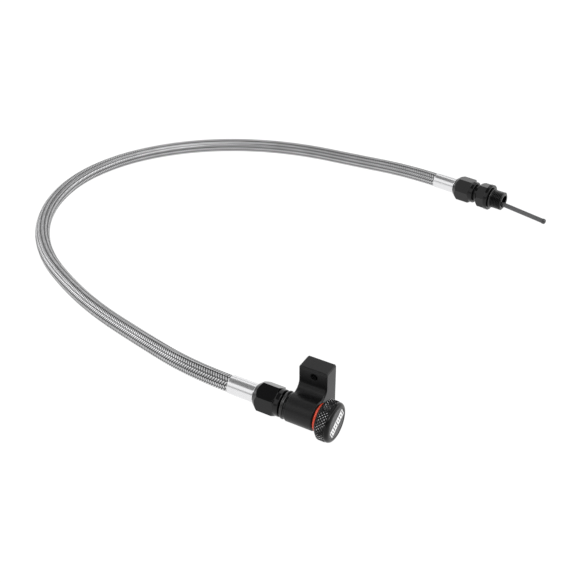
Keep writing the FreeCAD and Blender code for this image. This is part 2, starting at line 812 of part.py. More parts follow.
droop = math.radians(TIP_DROOP)
mouth = value(size("far_thread_end"))
tip_line = FreeCAD.Vector(math.cos(droop), 0, -math.sin(droop))
mouth_spot = FreeCAD.Vector(mouth, 0, -TIP_MOUTH_DROP)
crossing = FreeCAD.Vector(mouth - TIP_MOUTH_DROP / math.tan(droop), 0, 0)
tip_start = mouth_spot - tip_line * value(size("tip_inside"))
gap = value(size("stick_joint_gap"))
tip_roll = FreeCAD.Rotation(FreeCAD.Vector(1, 0, 0), TIP_TURN)
tip_frame = far_place.multiply(FreeCAD.Placement(FreeCAD.Vector(), tip_roll))

upper_end = value(barrel_end) - value(size("upper_stick_end"))
core_points = [tuple(near_place.multVec(FreeCAD.Vector(upper_end - gap, 0, 0)))]
core_points += ROUTE[1:-1]
core_points.append(tuple(tip_frame.multVec(crossing)))
core_points.append(tuple(tip_frame.multVec(tip_start - tip_line * gap)))
core_line, core_radii = route_wire(core_points)
placed_feature("stick_core", tube(core_line, value(size("stick_radius")), 0))


def stick():
    """The straight ends of the stick: the upper one in the cap's ferrule and the drooping tip."""
    upper = doc.addObject("Part::Cylinder", "upper_stick")
    bind(upper, "Radius", size("stick_radius"))
    ferrule_end = size("ferrule_length") - size("plug_length")
    bind(upper, "Height", size("upper_stick_end") + ferrule_end - 0.4)
    shift = FreeCAD.Placement(FreeCAD.Vector(-value(size("upper_stick_end")), 0, 0), ALONG_X)
    keep(upper, "stick_upper", cap_place.multiply(shift))

    inner = size("plug_length") * -1.0 + 0.1
    screw = size("screw_place") * -1.0
    half = size("screw_groove_half")
    ferrule = turned("ferrule_turning", [
        (inner, size("stick_radius")),
        (inner, size("ferrule_radius")),
        (screw - half, size("ferrule_radius")),
        (screw - half, size("ferrule_groove")),
        (screw + half, size("ferrule_groove")),
        (screw + half, size("ferrule_radius")),
        (ferrule_end, size("ferrule_radius")),
        (ferrule_end, size("stick_radius")),
    ])
    keep(ferrule, "stick_ferrule", cap_place)

    pitch = FreeCAD.Rotation(FreeCAD.Vector(0, 1, 0), TIP_DROOP)
    tip_place = tip_frame.multiply(FreeCAD.Placement(tip_start, pitch))
    bead_start = size("tip_inside") + size("tip_outside") - size("tip_bead_length")
    tip = doc.addObject("Part::Cylinder", "tip_rod")
    bind(tip, "Radius", size("stick_radius"))
    bind(tip, "Height", bead_start + 0.5)
    keep(tip, "stick_tip", tip_place.multiply(FreeCAD.Placement(FreeCAD.Vector(), ALONG_X)))
    bead = turned("bead_turning", [
        (bead_start, size("stick_radius")),
        (bead_start + 0.4, size("tip_bead_radius")),
        (bead_start + size("tip_bead_length") - 1.2, size("tip_bead_radius")),
        (bead_start + size("tip_bead_length") - 0.4, size("tip_bead_radius") - 0.5),
        (bead_start + size("tip_bead_length"), size("tip_bead_radius") - 1.4),
        (bead_start + size("tip_bead_length"), 0),
        (bead_start + 0.5, 0),
        (bead_start + 0.5, size("stick_radius")),
    ])
    keep(bead, "tip_ferrule", tip_place)


stick()

# ---------------------------------------------------------------- checks and files
doc.recompute()
for item in doc.Objects:
    if "Invalid" in item.State or "Error" in item.State:
        raise RuntimeError(f"{item.Name} failed: {item.State}")
for label, node in nodes.items():
    if node.Shape.isNull() or not node.Shape.isValid():
        raise RuntimeError(f"{label} has no valid shape")
    if len(node.Shape.Solids) != 1:
        raise RuntimeError(f"{label} has {len(node.Shape.Solids)} solids")
for label, node in nodes.items():
    node.Shape.exportStep(os.path.join("parts", label + ".step"))
tip_direction = tip_frame.Rotation.multVec(tip_line)
print(f"the tip points along {tip_direction.x:.6f} {tip_direction.y:.6f} {tip_direction.z:.6f}")
print(f"{len(nodes)} nodes written")
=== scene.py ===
import json
import math

import bmesh
import bpy
import numpy as np
from mathutils import Matrix, Vector

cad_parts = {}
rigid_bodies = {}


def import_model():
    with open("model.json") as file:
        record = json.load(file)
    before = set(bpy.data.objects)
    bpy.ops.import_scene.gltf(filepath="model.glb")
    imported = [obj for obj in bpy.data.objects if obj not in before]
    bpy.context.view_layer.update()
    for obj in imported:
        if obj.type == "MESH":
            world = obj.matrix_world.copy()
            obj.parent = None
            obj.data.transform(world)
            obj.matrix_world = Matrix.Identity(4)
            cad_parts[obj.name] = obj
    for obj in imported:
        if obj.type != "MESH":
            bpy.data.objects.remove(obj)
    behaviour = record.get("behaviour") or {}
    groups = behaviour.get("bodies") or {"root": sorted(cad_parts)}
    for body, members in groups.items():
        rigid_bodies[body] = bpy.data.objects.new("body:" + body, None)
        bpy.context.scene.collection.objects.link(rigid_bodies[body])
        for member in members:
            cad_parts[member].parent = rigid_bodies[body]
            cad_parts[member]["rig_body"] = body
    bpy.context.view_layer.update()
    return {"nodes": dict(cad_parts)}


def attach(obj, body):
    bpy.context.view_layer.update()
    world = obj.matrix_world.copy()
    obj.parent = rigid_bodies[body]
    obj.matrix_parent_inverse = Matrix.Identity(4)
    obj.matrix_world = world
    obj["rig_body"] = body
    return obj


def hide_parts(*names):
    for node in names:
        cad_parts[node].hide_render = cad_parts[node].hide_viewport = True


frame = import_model()
nodes = frame["nodes"]
scene = bpy.context.scene
MM = 0.001
ROOT = "hose_assembly"


def linked(name, data):
    made = bpy.data.objects.new(name, data)
    scene.collection.objects.link(made)
    return made


# ---------------------------------------------------------------- camera
CAMERA_PLACE = Vector((0.2381, -0.4163, 0.4309))
CAMERA_HEADING = 29.4
CAMERA_DIP = 34.7
camera = linked("camera", bpy.data.cameras.new("camera"))
camera.data.sensor_width = 36.0
camera.data.lens = 59.9
camera.data.clip_start = 0.05
camera.data.clip_end = 20.0
camera.location = CAMERA_PLACE
camera.rotation_euler = (math.radians(90 - CAMERA_DIP), 0, math.radians(CAMERA_HEADING))
scene.camera = camera
scene.view_settings.view_transform = "Standard"

# ---------------------------------------------------------------- places
ROUTE = [
    (-0.0394, -0.0052, 0.0139),
    (-0.0716, -0.0052, 0.0139),
    (-0.1256, 0.0093, 0.0102),
    (-0.1766, 0.0243, 0.0070),
    (-0.2198, 0.0418, 0.0060),
    (-0.2609, 0.0639, 0.0060),
    (-0.2946, 0.0953, 0.0060),
    (-0.3176, 0.1363, 0.0060),
    (-0.3256, 0.1823, 0.0060),
    (-0.3156, 0.2283, 0.0060),
    (-0.2916, 0.2677, 0.0060),
    (-0.2576, 0.2997, 0.0060),
    (-0.2140, 0.3235, 0.0060),
    (-0.1680, 0.3363, 0.0060),
    (-0.1180, 0.3385, 0.0069),
    (-0.0618, 0.3358, 0.01125),
    (-0.0320, 0.3321, 0.01125),
]
far_run = Vector(ROUTE[-1]) - Vector(ROUTE[-2])
FAR_HEADING = math.atan2(far_run.y, far_run.x)
NEAR = Matrix.Translation(ROUTE[0])
FAR = Matrix.Translation(ROUTE[-1]) @ Matrix.Rotation(FAR_HEADING, 4, "Z")
BARREL_END = 65.5 * MM
CAP = NEAR @ Matrix.Translation((BARREL_END, 0, 0))
BAR_TURN = math.radians(28.7)
FAR_THREAD_END = 67.3 * MM
TIP_TURN = math.radians(-30.6)
TIP_MOUTH_DROP = 2.45 * MM
TIP_DROOP = math.radians(4.6)
TIP = FAR @ Matrix.Rotation(TIP_TURN, 4, "X")
TIP = TIP @ Matrix.Translation((FAR_THREAD_END, 0, -TIP_MOUTH_DROP))
TIP = TIP @ Matrix.Rotation(TIP_DROOP, 4, "Y")


# ---------------------------------------------------------------- finishes
def node_maker(owner):
    """A function that adds a node to a material or world, with its settings and links."""
    tree = owner.node_tree

    def make(kind, **inputs):
        node = tree.nodes.new(kind)
        for name, setting in inputs.items():
            if hasattr(node, name) and name not in node.inputs:
                setattr(node, name, setting)
            else:
                socket = node.inputs[name]
                if isinstance(setting, bpy.types.NodeSocket):
                    tree.links.new(setting, socket)
                else:
                    socket.default_value = setting
        return node

    return make


def math_maker(owner):
    """A function that adds one maths node to a material or world and gives its output."""
    make = node_maker(owner)

    def math_node(operation, *sources):
        node = make("ShaderNodeMath", operation=operation)
        for socket, source in zip(node.inputs, sources):
            if isinstance(source, bpy.types.NodeSocket):
                owner.node_tree.links.new(source, socket)
            else:
                socket.default_value = source
        return node.outputs[0]

    return math_node


def finish(name, colour, metallic, roughness, **more):
    """A finish with slow cloudy variation, fine grain and, where asked, turning lines round X."""
    grain = more.get("grain", 900.0)
    grain_height = more.get("grain_height", 0.02)
    spread = more.get("spread", 0.08)
    stretch = more.get("stretch", (1.0, 1.0, 1.0))
    material = bpy.data.materials.new(name)
    material.use_nodes = True
    make = node_maker(material)
    math_node = math_maker(material)
    links = material.node_tree.links
    shader = material.node_tree.nodes["Principled BSDF"]
    where = make("ShaderNodeTexCoord").outputs["Object"]
    turned = make("ShaderNodeMapping", Vector=where, Rotation=(0, 0, more.get("turn", 0.0)),
                  Scale=stretch)
    fine = make("ShaderNodeTexNoise", Vector=turned.outputs["Vector"], Scale=grain, Detail=3.0)
    cloud = make("ShaderNodeTexNoise", Vector=where, Scale=60.0, Detail=3.0)
    both = math_node("ADD", fine.outputs["Fac"], cloud.outputs["Fac"])
    half = math_node("MULTIPLY", both, 0.5)
    low = [max(0.0, part * (1 - spread)) for part in colour] + [1.0]
    high = [min(1.0, part * (1 + spread)) for part in colour] + [1.0]
    ramp = make("ShaderNodeValToRGB", Fac=half)
    ramp.color_ramp.elements[0].position = 0.35
    ramp.color_ramp.elements[0].color = low
    ramp.color_ramp.elements[1].position = 0.65
    ramp.color_ramp.elements[1].color = high
    rough = make("ShaderNodeMapRange", Value=half)
    rough.inputs["From Min"].default_value = 0.3
    rough.inputs["From Max"].default_value = 0.7
    rough.inputs["To Min"].default_value = max(0.02, roughness * 0.85)
    rough.inputs["To Max"].default_value = min(1.0, roughness * 1.15)
    bump = make("ShaderNodeBump", Height=fine.outputs["Fac"], Strength=0.6,
                Distance=grain_height * MM)
    links.new(ramp.outputs["Color"], shader.inputs["Base Color"])
    links.new(rough.outputs["Result"], shader.inputs["Roughness"])
    links.new(bump.outputs["Normal"], shader.inputs["Normal"])
    shader.inputs["Metallic"].default_value = metallic
    shader.inputs["Specular IOR Level"].default_value = more.get("specular", 0.5)
    return material


# Wires in a strand, the sideways lean of a wire's normal at its edge, and how bright the painted
# shade leaves a strand where it dives, between its wires and along its edges
WIRES = 6
WIRE_TILT = 0.22
DIVE_PAINTED_SHADE = 0.06
GAP_PAINTED_SHADE = 0.7
EDGE_PAINTED_SHADE = 0.06


def braid_finish():
    """Bright wire. A strand's UV runs across its wires and along its weave: each wire shades as
    a half round, and painted shade darkens the colour between the wires, along the strand's two
    edges, and where it dives under another."""
    material = finish("wire_braid", (0.70, 0.70, 0.71), 1.0, 0.2, grain=700.0,
                      grain_height=0.002, spread=0.12)
    make = node_maker(material)
    math_node = math_maker(material)
    links = material.node_tree.links
    split = make("ShaderNodeSeparateXYZ", Vector=make("ShaderNodeTexCoord").outputs["UV"])
    in_wire = math_node("FRACT", math_node("MULTIPLY", split.outputs["X"], WIRES))
    side = math_node("SUBTRACT", math_node("MULTIPLY", in_wire, 2.0), 1.0)
    tilt = math_node("MULTIPLY", side, WIRE_TILT)
    upright = math_node("SQRT", math_node("SUBTRACT", 1.0, math_node("MULTIPLY", tilt, tilt)))
    packed = make("ShaderNodeCombineColor", Red=math_node("MULTIPLY_ADD", tilt, 0.5, 0.5),
                  Green=0.5, Blue=math_node("MULTIPLY_ADD", upright, 0.5, 0.5))
    normal = make("ShaderNodeNormalMap", Color=packed.outputs["Color"], Strength=1.0,
                  uv_map="wires")
    shader = material.node_tree.nodes["Principled BSDF"]
    links.new(normal.outputs["Normal"], shader.inputs["Normal"])

    # Painted shade, laid into the colour: dark where the strand dives under another, between its
    # wires and along its edges
    phase = math_node("MULTIPLY", split.outputs["Y"], math.pi / 2)
    over = math_node("MULTIPLY_ADD", math_node("COSINE", phase), 1.35, -0.08)
    cover = make("ShaderNodeMapRange", Value=over)
    cover.inputs["To Min"].default_value = DIVE_PAINTED_SHADE
    between = math_node("POWER", math_node("ABSOLUTE", side), 4.0)
    painted_wire_shade = math_node("MULTIPLY_ADD", between, GAP_PAINTED_SHADE - 1.0, 1.0)
    from_middle = math_node("ABSOLUTE", math_node("MULTIPLY_ADD", split.outputs["X"], 2.0, -1.0))
    painted_edge_shade = math_node("MULTIPLY_ADD", math_node("POWER", from_middle, 2.5),
                             EDGE_PAINTED_SHADE - 1.0, 1.0)
    painted_wire_shade = math_node("MULTIPLY", painted_wire_shade, painted_edge_shade)
    shade = math_node("MULTIPLY", cover.outputs["Result"], painted_wire_shade)
    painted_shade_mix = make("ShaderNodeMix", data_type="RGBA", blend_type="MULTIPLY")
    painted_shade_mix.inputs["Factor"].default_value = 1.0
    colour = shader.inputs["Base Color"].links[0].from_socket
    links.new(colour, painted_shade_mix.inputs["A"])
    links.new(shade, painted_shade_mix.inputs["B"])
    links.new(painted_shade_mix.outputs["Result"], shader.inputs["Base Color"])
    return material


def knurl_finish():
    """Black anodising, with light grey painted highlights on some peaks of the knurl, standing in
    for glints.
    """
    material = finish("black_anodised_knurl", (0.002, 0.002, 0.0022), 0.0, 0.12, specular=0.2,
                      grain_height=0.002)
    make = node_maker(material)
    links = material.node_tree.links
    shader = material.node_tree.nodes["Principled BSDF"]
    highlight_peak = make("ShaderNodeAttribute", attribute_name="peak")
    highlight_scatter = make("ShaderNodeTexNoise", Vector=make("ShaderNodeTexCoord").outputs["Object"],
                 Scale=180.0, Detail=1.0)
    highlight_share = make("ShaderNodeMapRange", Value=highlight_scatter.outputs["Fac"])
    highlight_share.inputs["From Min"].default_value = 0.38
    highlight_share.inputs["From Max"].default_value = 0.68
    painted_highlight = math_maker(material)("MULTIPLY", highlight_peak.outputs["Fac"], highlight_share.outputs["Result"])
    # Painted highlight: light grey on the knurl's peaks, where the noise lets it through
    colour = make("ShaderNodeMix", data_type="RGBA")
    links.new(painted_highlight, colour.inputs["Factor"])
    links.new(shader.inputs["Base Color"].links[0].from_socket, colour.inputs["A"])
    colour.inputs["B"].default_value = (0.80, 0.80, 0.81, 1)
    links.new(colour.outputs["Result"], shader.inputs["Base Color"])
    return material


LINES_X = (6.0, 0.25, 0.25)
BRAID = braid_finish()
UNDER_BRAID = finish("under_braid", (0.012, 0.012, 0.0125), 0.0, 0.5, specular=0.2)
COLLAR = finish("polished_collar", (0.76, 0.76, 0.77), 1.0, 0.21, stretch=LINES_X,
                grain_height=0.003, spread=0.02)
FAR_COLLAR = finish("polished_collar_far", (0.76, 0.76, 0.77), 1.0, 0.23, stretch=LINES_X,
                    grain_height=0.003, spread=0.02, turn=-FAR_HEADING)
STEEL = finish("turned_steel", (0.55, 0.55, 0.56), 1.0, 0.3, stretch=LINES_X)
BLACK = finish("black_anodised", (0.002, 0.002, 0.0022), 0.0, 0.13, specular=0.32,
               grain_height=0.004, spread=0.15)
BLACK_SATIN = finish("black_anodised_satin", (0.005, 0.005, 0.0053), 0.0, 0.36, specular=0.28,
                     grain=2200.0, grain_height=0.012, spread=0.12)
KNURL_BLACK = knurl_finish()
BADGE_GREY = finish("badge_grey", (0.045, 0.045, 0.047), 0.2, 0.4, specular=0.4,
                    grain=1500.0, grain_height=0.006)
PRINT_WHITE = finish("print_white", (0.80, 0.80, 0.80), 0.0, 0.35, spread=0.03)
PRINT_DARK = finish("print_dark", (0.03, 0.03, 0.032), 0.0, 0.4)
RED_SEAL = finish("red_seal", (0.62, 0.055, 0.02), 0.0, 0.32, specular=0.5, grain_height=0.008)
BLACK_SEAL = finish("black_seal", (0.006, 0.006, 0.006), 0.0, 0.22, specular=0.5,
                    grain_height=0.005)
ROPE = finish("stick_wire", (0.12, 0.12, 0.123), 0.75, 0.38, spread=0.15)
ROPE_DARK = finish("stick_end", (0.07, 0.07, 0.072), 0.6, 0.35)


# ---------------------------------------------------------------- shapes
def mesh_piece(name, points, faces, material, body, smooth=True):
    """A mesh in the row frame, in metres, that rides on a body."""
    mesh = bpy.data.meshes.new(name)
    mesh.from_pydata([tuple(point) for point in points], [], faces)
    mesh.materials.append(material)
    mesh.polygons.foreach_set("use_smooth", [smooth] * len(mesh.polygons))
    mesh.update()
    piece = linked(name, mesh)
    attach(piece, body)
    return piece


def grid_faces(rows, columns):
    """Quads between the rows of a grid of points, each row a closed ring."""
    faces = []
    for row in range(rows - 1):
        for column in range(columns):
            after = (column + 1) % columns
            faces.append((row * columns + column, row * columns + after,
                          (row + 1) * columns + after, (row + 1) * columns + column))
    return faces


def ring(along, radii, angles):
    """A ring of points round the X axis."""
    return np.stack([np.full(len(angles), along), radii * np.cos(angles),
                     radii * np.sin(angles)], axis=-1)


def placed(points, place):
    """Points in mm in a place's own frame, in metres in the row frame."""
    matrix = np.array(place)
    return (points * MM) @ matrix[:3, :3].T + matrix[:3, 3]


# Points nearer than this, in metres, are one point, and faces that meet flatter than this, in
# degrees, are one face
SAME_PLACE = 2e-6
SAME_FACE = 0.3


def refined(node, material, bevel, angle=30.0, cut=None):
    """A CAD node's own shape with clean faces and a finish. Edges sharper than the angle, in
    degrees, are rounded by the bevel, in mm. The faces that cut picks out are left open for a
    detailed piece to fill."""
    source = nodes[node]
    work = bmesh.new()
    work.from_mesh(source.data)
    bmesh.ops.remove_doubles(work, verts=work.verts, dist=SAME_PLACE)
    bmesh.ops.dissolve_limit(work, angle_limit=math.radians(SAME_FACE), verts=work.verts,
                             edges=work.edges, use_dissolve_boundaries=False)
    if cut:
        bmesh.ops.delete(work, geom=[face for face in work.faces if cut(face)], context="FACES")
    work.verts.ensure_lookup_table()
    work.verts.index_update()
    points = [vertex.co.copy() for vertex in work.verts]
    faces = [[vertex.index for vertex in face.verts] for face in work.faces]
    work.free()
    piece = mesh_piece(node + "_finished", points, faces, material, source["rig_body"])
    rounding = piece.modifiers.new("rounding", "BEVEL")
    rounding.width = bevel * MM
    rounding.segments = 2
    rounding.limit_method = "ANGLE"
    rounding.angle_limit = math.radians(angle)
    rounding.miter_outer = "MITER_ARC"
    weights = piece.modifiers.new("weights", "WEIGHTED_NORMAL")
    weights.keep_sharp = True
    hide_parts(node)
    return piece


# ---------------------------------------------------------------- hose
route_curve = bpy.data.curves.new("route", "CURVE")
route_curve.dimensions = "3D"
route_curve.resolution_u = 24
spline = route_curve.splines.new("NURBS")
spline.points.add(len(ROUTE) - 1)
for point, place in zip(spline.points, ROUTE):
    point.co = (*place, 1.0)
spline.order_u = 3
spline.use_endpoint_u = True
route_object = linked("route", route_curve)
bpy.context.view_layer.update()
line_mesh = bpy.data.meshes.new_from_object(route_object)
LINE = np.array([vertex.co for vertex in line_mesh.vertices], float)
bpy.data.objects.remove(route_object)
bpy.data.meshes.remove(line_mesh)


class Path:
    """A smooth line with a steady frame along it; lengths in metres from its start."""

    def __init__(self, points):
        steps = np.linalg.norm(np.diff(points, axis=0), axis=1)
        self.points = points
        self.along = np.concatenate([[0.0], np.cumsum(steps)])
        self.length = self.along[-1]
        tangents = np.gradient(points, self.along, axis=0)
        self.tangents = tangents / np.linalg.norm(tangents, axis=1)[:, None]
        side = np.cross(self.tangents[0], (0.0, 0.0, 1.0))
        sides = []
        for tangent in self.tangents:
            side = side - tangent * side.dot(tangent)
            side = side / np.linalg.norm(side)
            sides.append(side)
        self.sides = np.array(sides)

    def _pick(self, rows, along):
        inside = np.clip(along, 0.0, self.length)
        return np.stack([np.interp(inside, self.along, rows[:, i]) for i in range(3)], axis=-1)

    def at(self, along, around, radius):
        """Points at lengths, angles and radii about the line, which runs on straight past its
        ends."""
        tangent = self._pick(self.tangents, along)
        tangent /= np.linalg.norm(tangent, axis=-1)[..., None]
        side = self._pick(self.sides, along)
        side -= tangent * (side * tangent).sum(-1)[..., None]
        side /= np.linalg.norm(side, axis=-1)[..., None]
        up = np.cross(tangent, side)
        past = along - np.clip(along, 0.0, self.length)
        centre = self._pick(self.points, along) + tangent * past[..., None]
        spoke = side * np.cos(around)[..., None] + up * np.sin(around)[..., None]
        return centre + spoke * radius[..., None]


hose_path = Path(LINE)
# Strands wound each way, and the length in which one goes once round
CARRIERS = 12
LEAD = 23.3 * MM
HOSE_RADIUS = 6.0 * MM
STRAND_WIDTH = 1.4 * MM
# A strand's middle swings this far up and down about a line this deep, and its two edges lie
# lower than its middle. A repeat of the weave is four crossings.
WEAVE_DEPTH = 0.16 * MM
WEAVE_RISE = 0.14 * MM
STRAND_CROWN = 0.09 * MM
STEPS_PER_REPEAT = 8
# How far the braid runs on into each collar
END_INSIDE = 2.0 * MM
# The collars squeeze the hose by this much. It widens from this far inside a collar's mouth,
# over this length.
SQUEEZE = 0.3 * MM
SQUEEZE_INSIDE = 1.0 * MM
SQUEEZE_LENGTH = 5.0 * MM
TUBE_RADIUS = 5.45 * MM


def outer_radius(along):
    """The hose is squeezed a little where it enters each collar."""
    from_end = np.minimum(along, hose_path.length - along)
    share = np.clip((from_end + SQUEEZE_INSIDE) / SQUEEZE_LENGTH, 0.0, 1.0)
    share = share * share * (3 - 2 * share)
    return HOSE_RADIUS - (1 - share) * SQUEEZE


def braid():
    """Flat strands of wires, half wound each way, two over and two under. The weave counts a
    strand's crossings. It depends on the angle round the hose alone, so the tops line up in
    rows along the hose."""
    whole = hose_path.length + 2 * END_INSIDE
    steps = int(whole / (2 * LEAD / CARRIERS) * STEPS_PER_REPEAT)
    along = np.linspace(-END_INSIDE, hose_path.length + END_INSIDE, steps + 1)
    lean = math.atan2(2 * math.pi * HOSE_RADIUS, LEAD)
    points = []
    uv = []
    for hand in (1, -1):
        for strand in range(CARRIERS):
            turn = hand * 2 * math.pi * along / LEAD
            start = 2 * math.pi * strand / CARRIERS
            weave = 2 * strand + hand * 2 * CARRIERS * along / LEAD
            lift = hand * np.clip(1.5 * np.cos(2 * math.pi * (weave - 0.5) / 4), -1, 1)
            radius = outer_radius(along) - WEAVE_DEPTH + WEAVE_RISE * lift
            for edge, drop in ((-0.5, STRAND_CROWN), (0.0, 0.0), (0.5, STRAND_CROWN)):
                slip = edge * STRAND_WIDTH
                points.append(hose_path.at(
                    along - slip * math.sin(lean),
                    start + turn + hand * slip * math.cos(lean) / HOSE_RADIUS,
                    radius - drop))
                uv.append(np.stack([np.full(len(along), edge + 0.5),
                                    weave - 0.5 + 1.0 - hand], axis=-1))
    count = len(along)
    points = np.concatenate(points)
    uv = np.concatenate(uv)
    faces = []
    for strand in range(2 * CARRIERS):
        hand = 1 if strand < CARRIERS else -1
        for strip in range(2):
            first = (strand * 3 + strip) * count
            low = np.arange(first, first + count - 1)
            quads = np.stack([low, low + count, low + count + 1, low + 1], axis=-1)
            faces.append(quads if hand == 1 else quads[:, ::-1])
    faces = np.concatenate(faces)
    piece = mesh_piece("hose_braid_wires", points, faces.tolist(), BRAID, ROOT)
    layer = piece.data.uv_layers.new(name="wires")
    layer.data.foreach_set("uv", uv[faces.ravel()].ravel())
    return piece


def tube_piece(name, radius, rings, around, material):
    """A plain tube under the braid, squeezed with it at the collars."""
    along = np.linspace(-END_INSIDE, hose_path.length + END_INSIDE, rings)
    angles = np.linspace(0, 2 * math.pi, around, endpoint=False)
    lengths, turns = np.meshgrid(along, angles, indexing="ij")
    squeeze = outer_radius(lengths) - HOSE_RADIUS
    points = hose_path.at(lengths, turns, radius + squeeze).reshape(-1, 3)
    return mesh_piece(name, points, grid_faces(rings, around), material, ROOT)


hose = braid()
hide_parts("hose_braid")
under = tube_piece("hose_tube", TUBE_RADIUS, rings=500, around=32, material=UNDER_BRAID)
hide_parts("hose_liner")

# ---------------------------------------------------------------- fittings
# The far thread, in mm. It covers the CAD cylinder, and its ends stand over the cone before it
# by 1 mm and over the chamfer after it by 0.4 mm.
THREAD_START = 57.6
THREAD_END = 66.5
THREAD_RADIUS = 8.0
THREAD_PITCH = 1.5
THREAD_DEPTH = 0.8
THREAD_RUN_IN = 1.0
THREAD_RUN_OUT = 0.4


def thread_faces(face):
    """The far adapter's plain cylinder, where its thread goes."""
    inward = FAR.inverted()
    for vertex in face.verts:
        place = inward @ vertex.co / MM
        if abs(math.hypot(place.y, place.z) - THREAD_RADIUS) > 0.02:
            return False
    return True


def far_thread():
    """The far adapter's male thread, in the space of its plain cylinder."""
    around = 96
    rings = 120
    angles = np.linspace(0, 2 * math.pi, around, endpoint=False)
    rows = []
    for along in np.linspace(THREAD_START, THREAD_END, rings):
        turn = (along / THREAD_PITCH - angles / (2 * math.pi)) % 1.0
        groove = np.clip(1.25 * (1 - np.abs(2 * turn - 1)) - 0.15, 0.0, 1.0)
        fade = min(1.0, (along - THREAD_START) / THREAD_RUN_IN,
                   (THREAD_END - along) / THREAD_RUN_OUT)
        rows.append(ring(along, THREAD_RADIUS - THREAD_DEPTH * groove * fade, angles))
    points = placed(np.concatenate(rows), FAR)
    piece = mesh_piece("far_adapter_thread", points, grid_faces(rings, around), BLACK, ROOT)
    return piece


refined("near_crimp_collar", COLLAR, 0.15)
# The cord's lining, the stick inside it and all that is at its far end, gathered in a list
far_pieces = [refined("far_crimp_collar", FAR_COLLAR, 0.15)]
for node in ("near_hose_stem", "far_hose_stem", "near_nut_wire", "far_nut_wire",
             "swivel_set_screw", "stick_ferrule"):
    made = refined(node, STEEL, 0.08)
    if node.startswith("far"):
        far_pieces.append(made)
refined("near_swivel_nut", BLACK, 0.2)
far_pieces.append(refined("far_swivel_nut", BLACK, 0.2))
refined("port_adapter", BLACK, 0.12)
refined("port_seal", BLACK_SEAL, 0.05, 60.0)
refined("face_seal", RED_SEAL, 0.05, 60.0)
refined("plug_seal", BLACK_SEAL, 0.05, 60.0)
far_pieces.append(refined("far_seal", BLACK_SEAL, 0.05, 60.0))
refined("bracket_body", BLACK_SATIN, 0.15)
refined("cap_plug", BLACK, 0.1)
far_pieces.append(refined("far_adapter", BLACK, 0.15, cut=thread_faces))
far_pieces.append(far_thread())
far_pieces.append(under)


# ---------------------------------------------------------------- cap
# The cap's counts, and its sizes in mm along its axis and out from it: the knurled rim, and
# the rounded edge, or bezel, between the rim and the front
KNOB_AROUND = 1140
DIAMONDS = 38
KNURL_RADIUS = 13.9
KNURL_START = 4.8
KNURL_END = 10.2
KNURL_STEPS = 64
KNURL_DEPTH = 0.6
KNURL_FADE = 0.3
KNURL_FADE_DROP = 0.25
# Where on a diamond the painted highlight begins, and over how much it comes to full
PEAK_FROM = 0.58
PEAK_RISE = 0.12
BEZEL_START = 10.9
BEZEL_LENGTH = 2.35
BEZEL_DROP = 2.5
BEZEL_INNER = 11.0
BEZEL_STEPS = 12


def knob_outline():
    """The cap's turned outline, places along the axis and radii in mm. The knurl's rows have no
    radius of their own."""
    outline = [(9.0, 0.0), (9.0, 4.0), (2.6, 4.0), (2.6, 11.2), (2.75, 11.55), (4.7, 13.45)]
    for step in range(KNURL_STEPS + 1):
        outline.append((KNURL_START + (KNURL_END - KNURL_START) * step / KNURL_STEPS, None))
    outline += [(10.3, 13.35), (10.5, 13.35), (10.62, 13.52), (BEZEL_START, 13.5)]
    for step in range(1, BEZEL_STEPS + 1):
        turn = 0.5 * math.pi * step / BEZEL_STEPS
        outline.append((BEZEL_START + BEZEL_LENGTH * math.sin(turn),
                        BEZEL_INNER + BEZEL_DROP * math.cos(turn)))
    outline += [(13.3, 10.9), (13.3, 10.55), (13.22, 10.42), (12.5, 10.4), (12.5, 0.0)]
    return outline


def cap_knob():
    """The cap with a diamond knurl round its rim. The attribute says how near the top of a
    diamond a point is, and places the painted highlights."""
    around = KNOB_AROUND
    pitch = 2 * math.pi * KNURL_RADIUS / DIAMONDS
    outline = knob_outline()
    angles = np.linspace(0, 2 * math.pi, around, endpoint=False)
    points = []
    peaks = []
    for along, radius in outline:
        peak = np.zeros(around)
        if radius is None:
            one = (angles * DIAMONDS / (2 * math.pi) + along / pitch) % 1.0
            other = (angles * DIAMONDS / (2 * math.pi) - along / pitch) % 1.0
            ridge = np.minimum(np.abs(2 * one - 1), np.abs(2 * other - 1))
            peak = np.clip((ridge - PEAK_FROM) / PEAK_RISE, 0.0, 1.0)
            from_end = min(along - KNURL_START, KNURL_END - along)
            drop = KNURL_FADE_DROP * max(0.0, 1 - from_end / KNURL_FADE)
            radii = KNURL_RADIUS - KNURL_DEPTH * (1 - ridge) - drop
        else:
            radii = np.full(around, radius)
        rows = np.stack([np.full(around, along), radii * np.sin(angles),
                         radii * np.cos(angles)], axis=-1)
        points.append(rows)
        peaks.append(peak)
    points = placed(np.concatenate(points), CAP)
    piece = mesh_piece("cap_knob_knurled", points, grid_faces(len(outline), around),
                       KNURL_BLACK, "cap")
    layer = piece.data.attributes.new("peak", "FLOAT", "POINT")
    layer.data.foreach_set("value", np.concatenate(peaks))
    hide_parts("cap_knob")


# The badge's scale, in mm
TICK_HALF_WIDTH = 0.4
TICK_PITCH = 2.0
LONG_TICK = 2.4
SHORT_TICK = 1.3
BAR_FACE = 13.25
PRINT_LIFT = 0.02


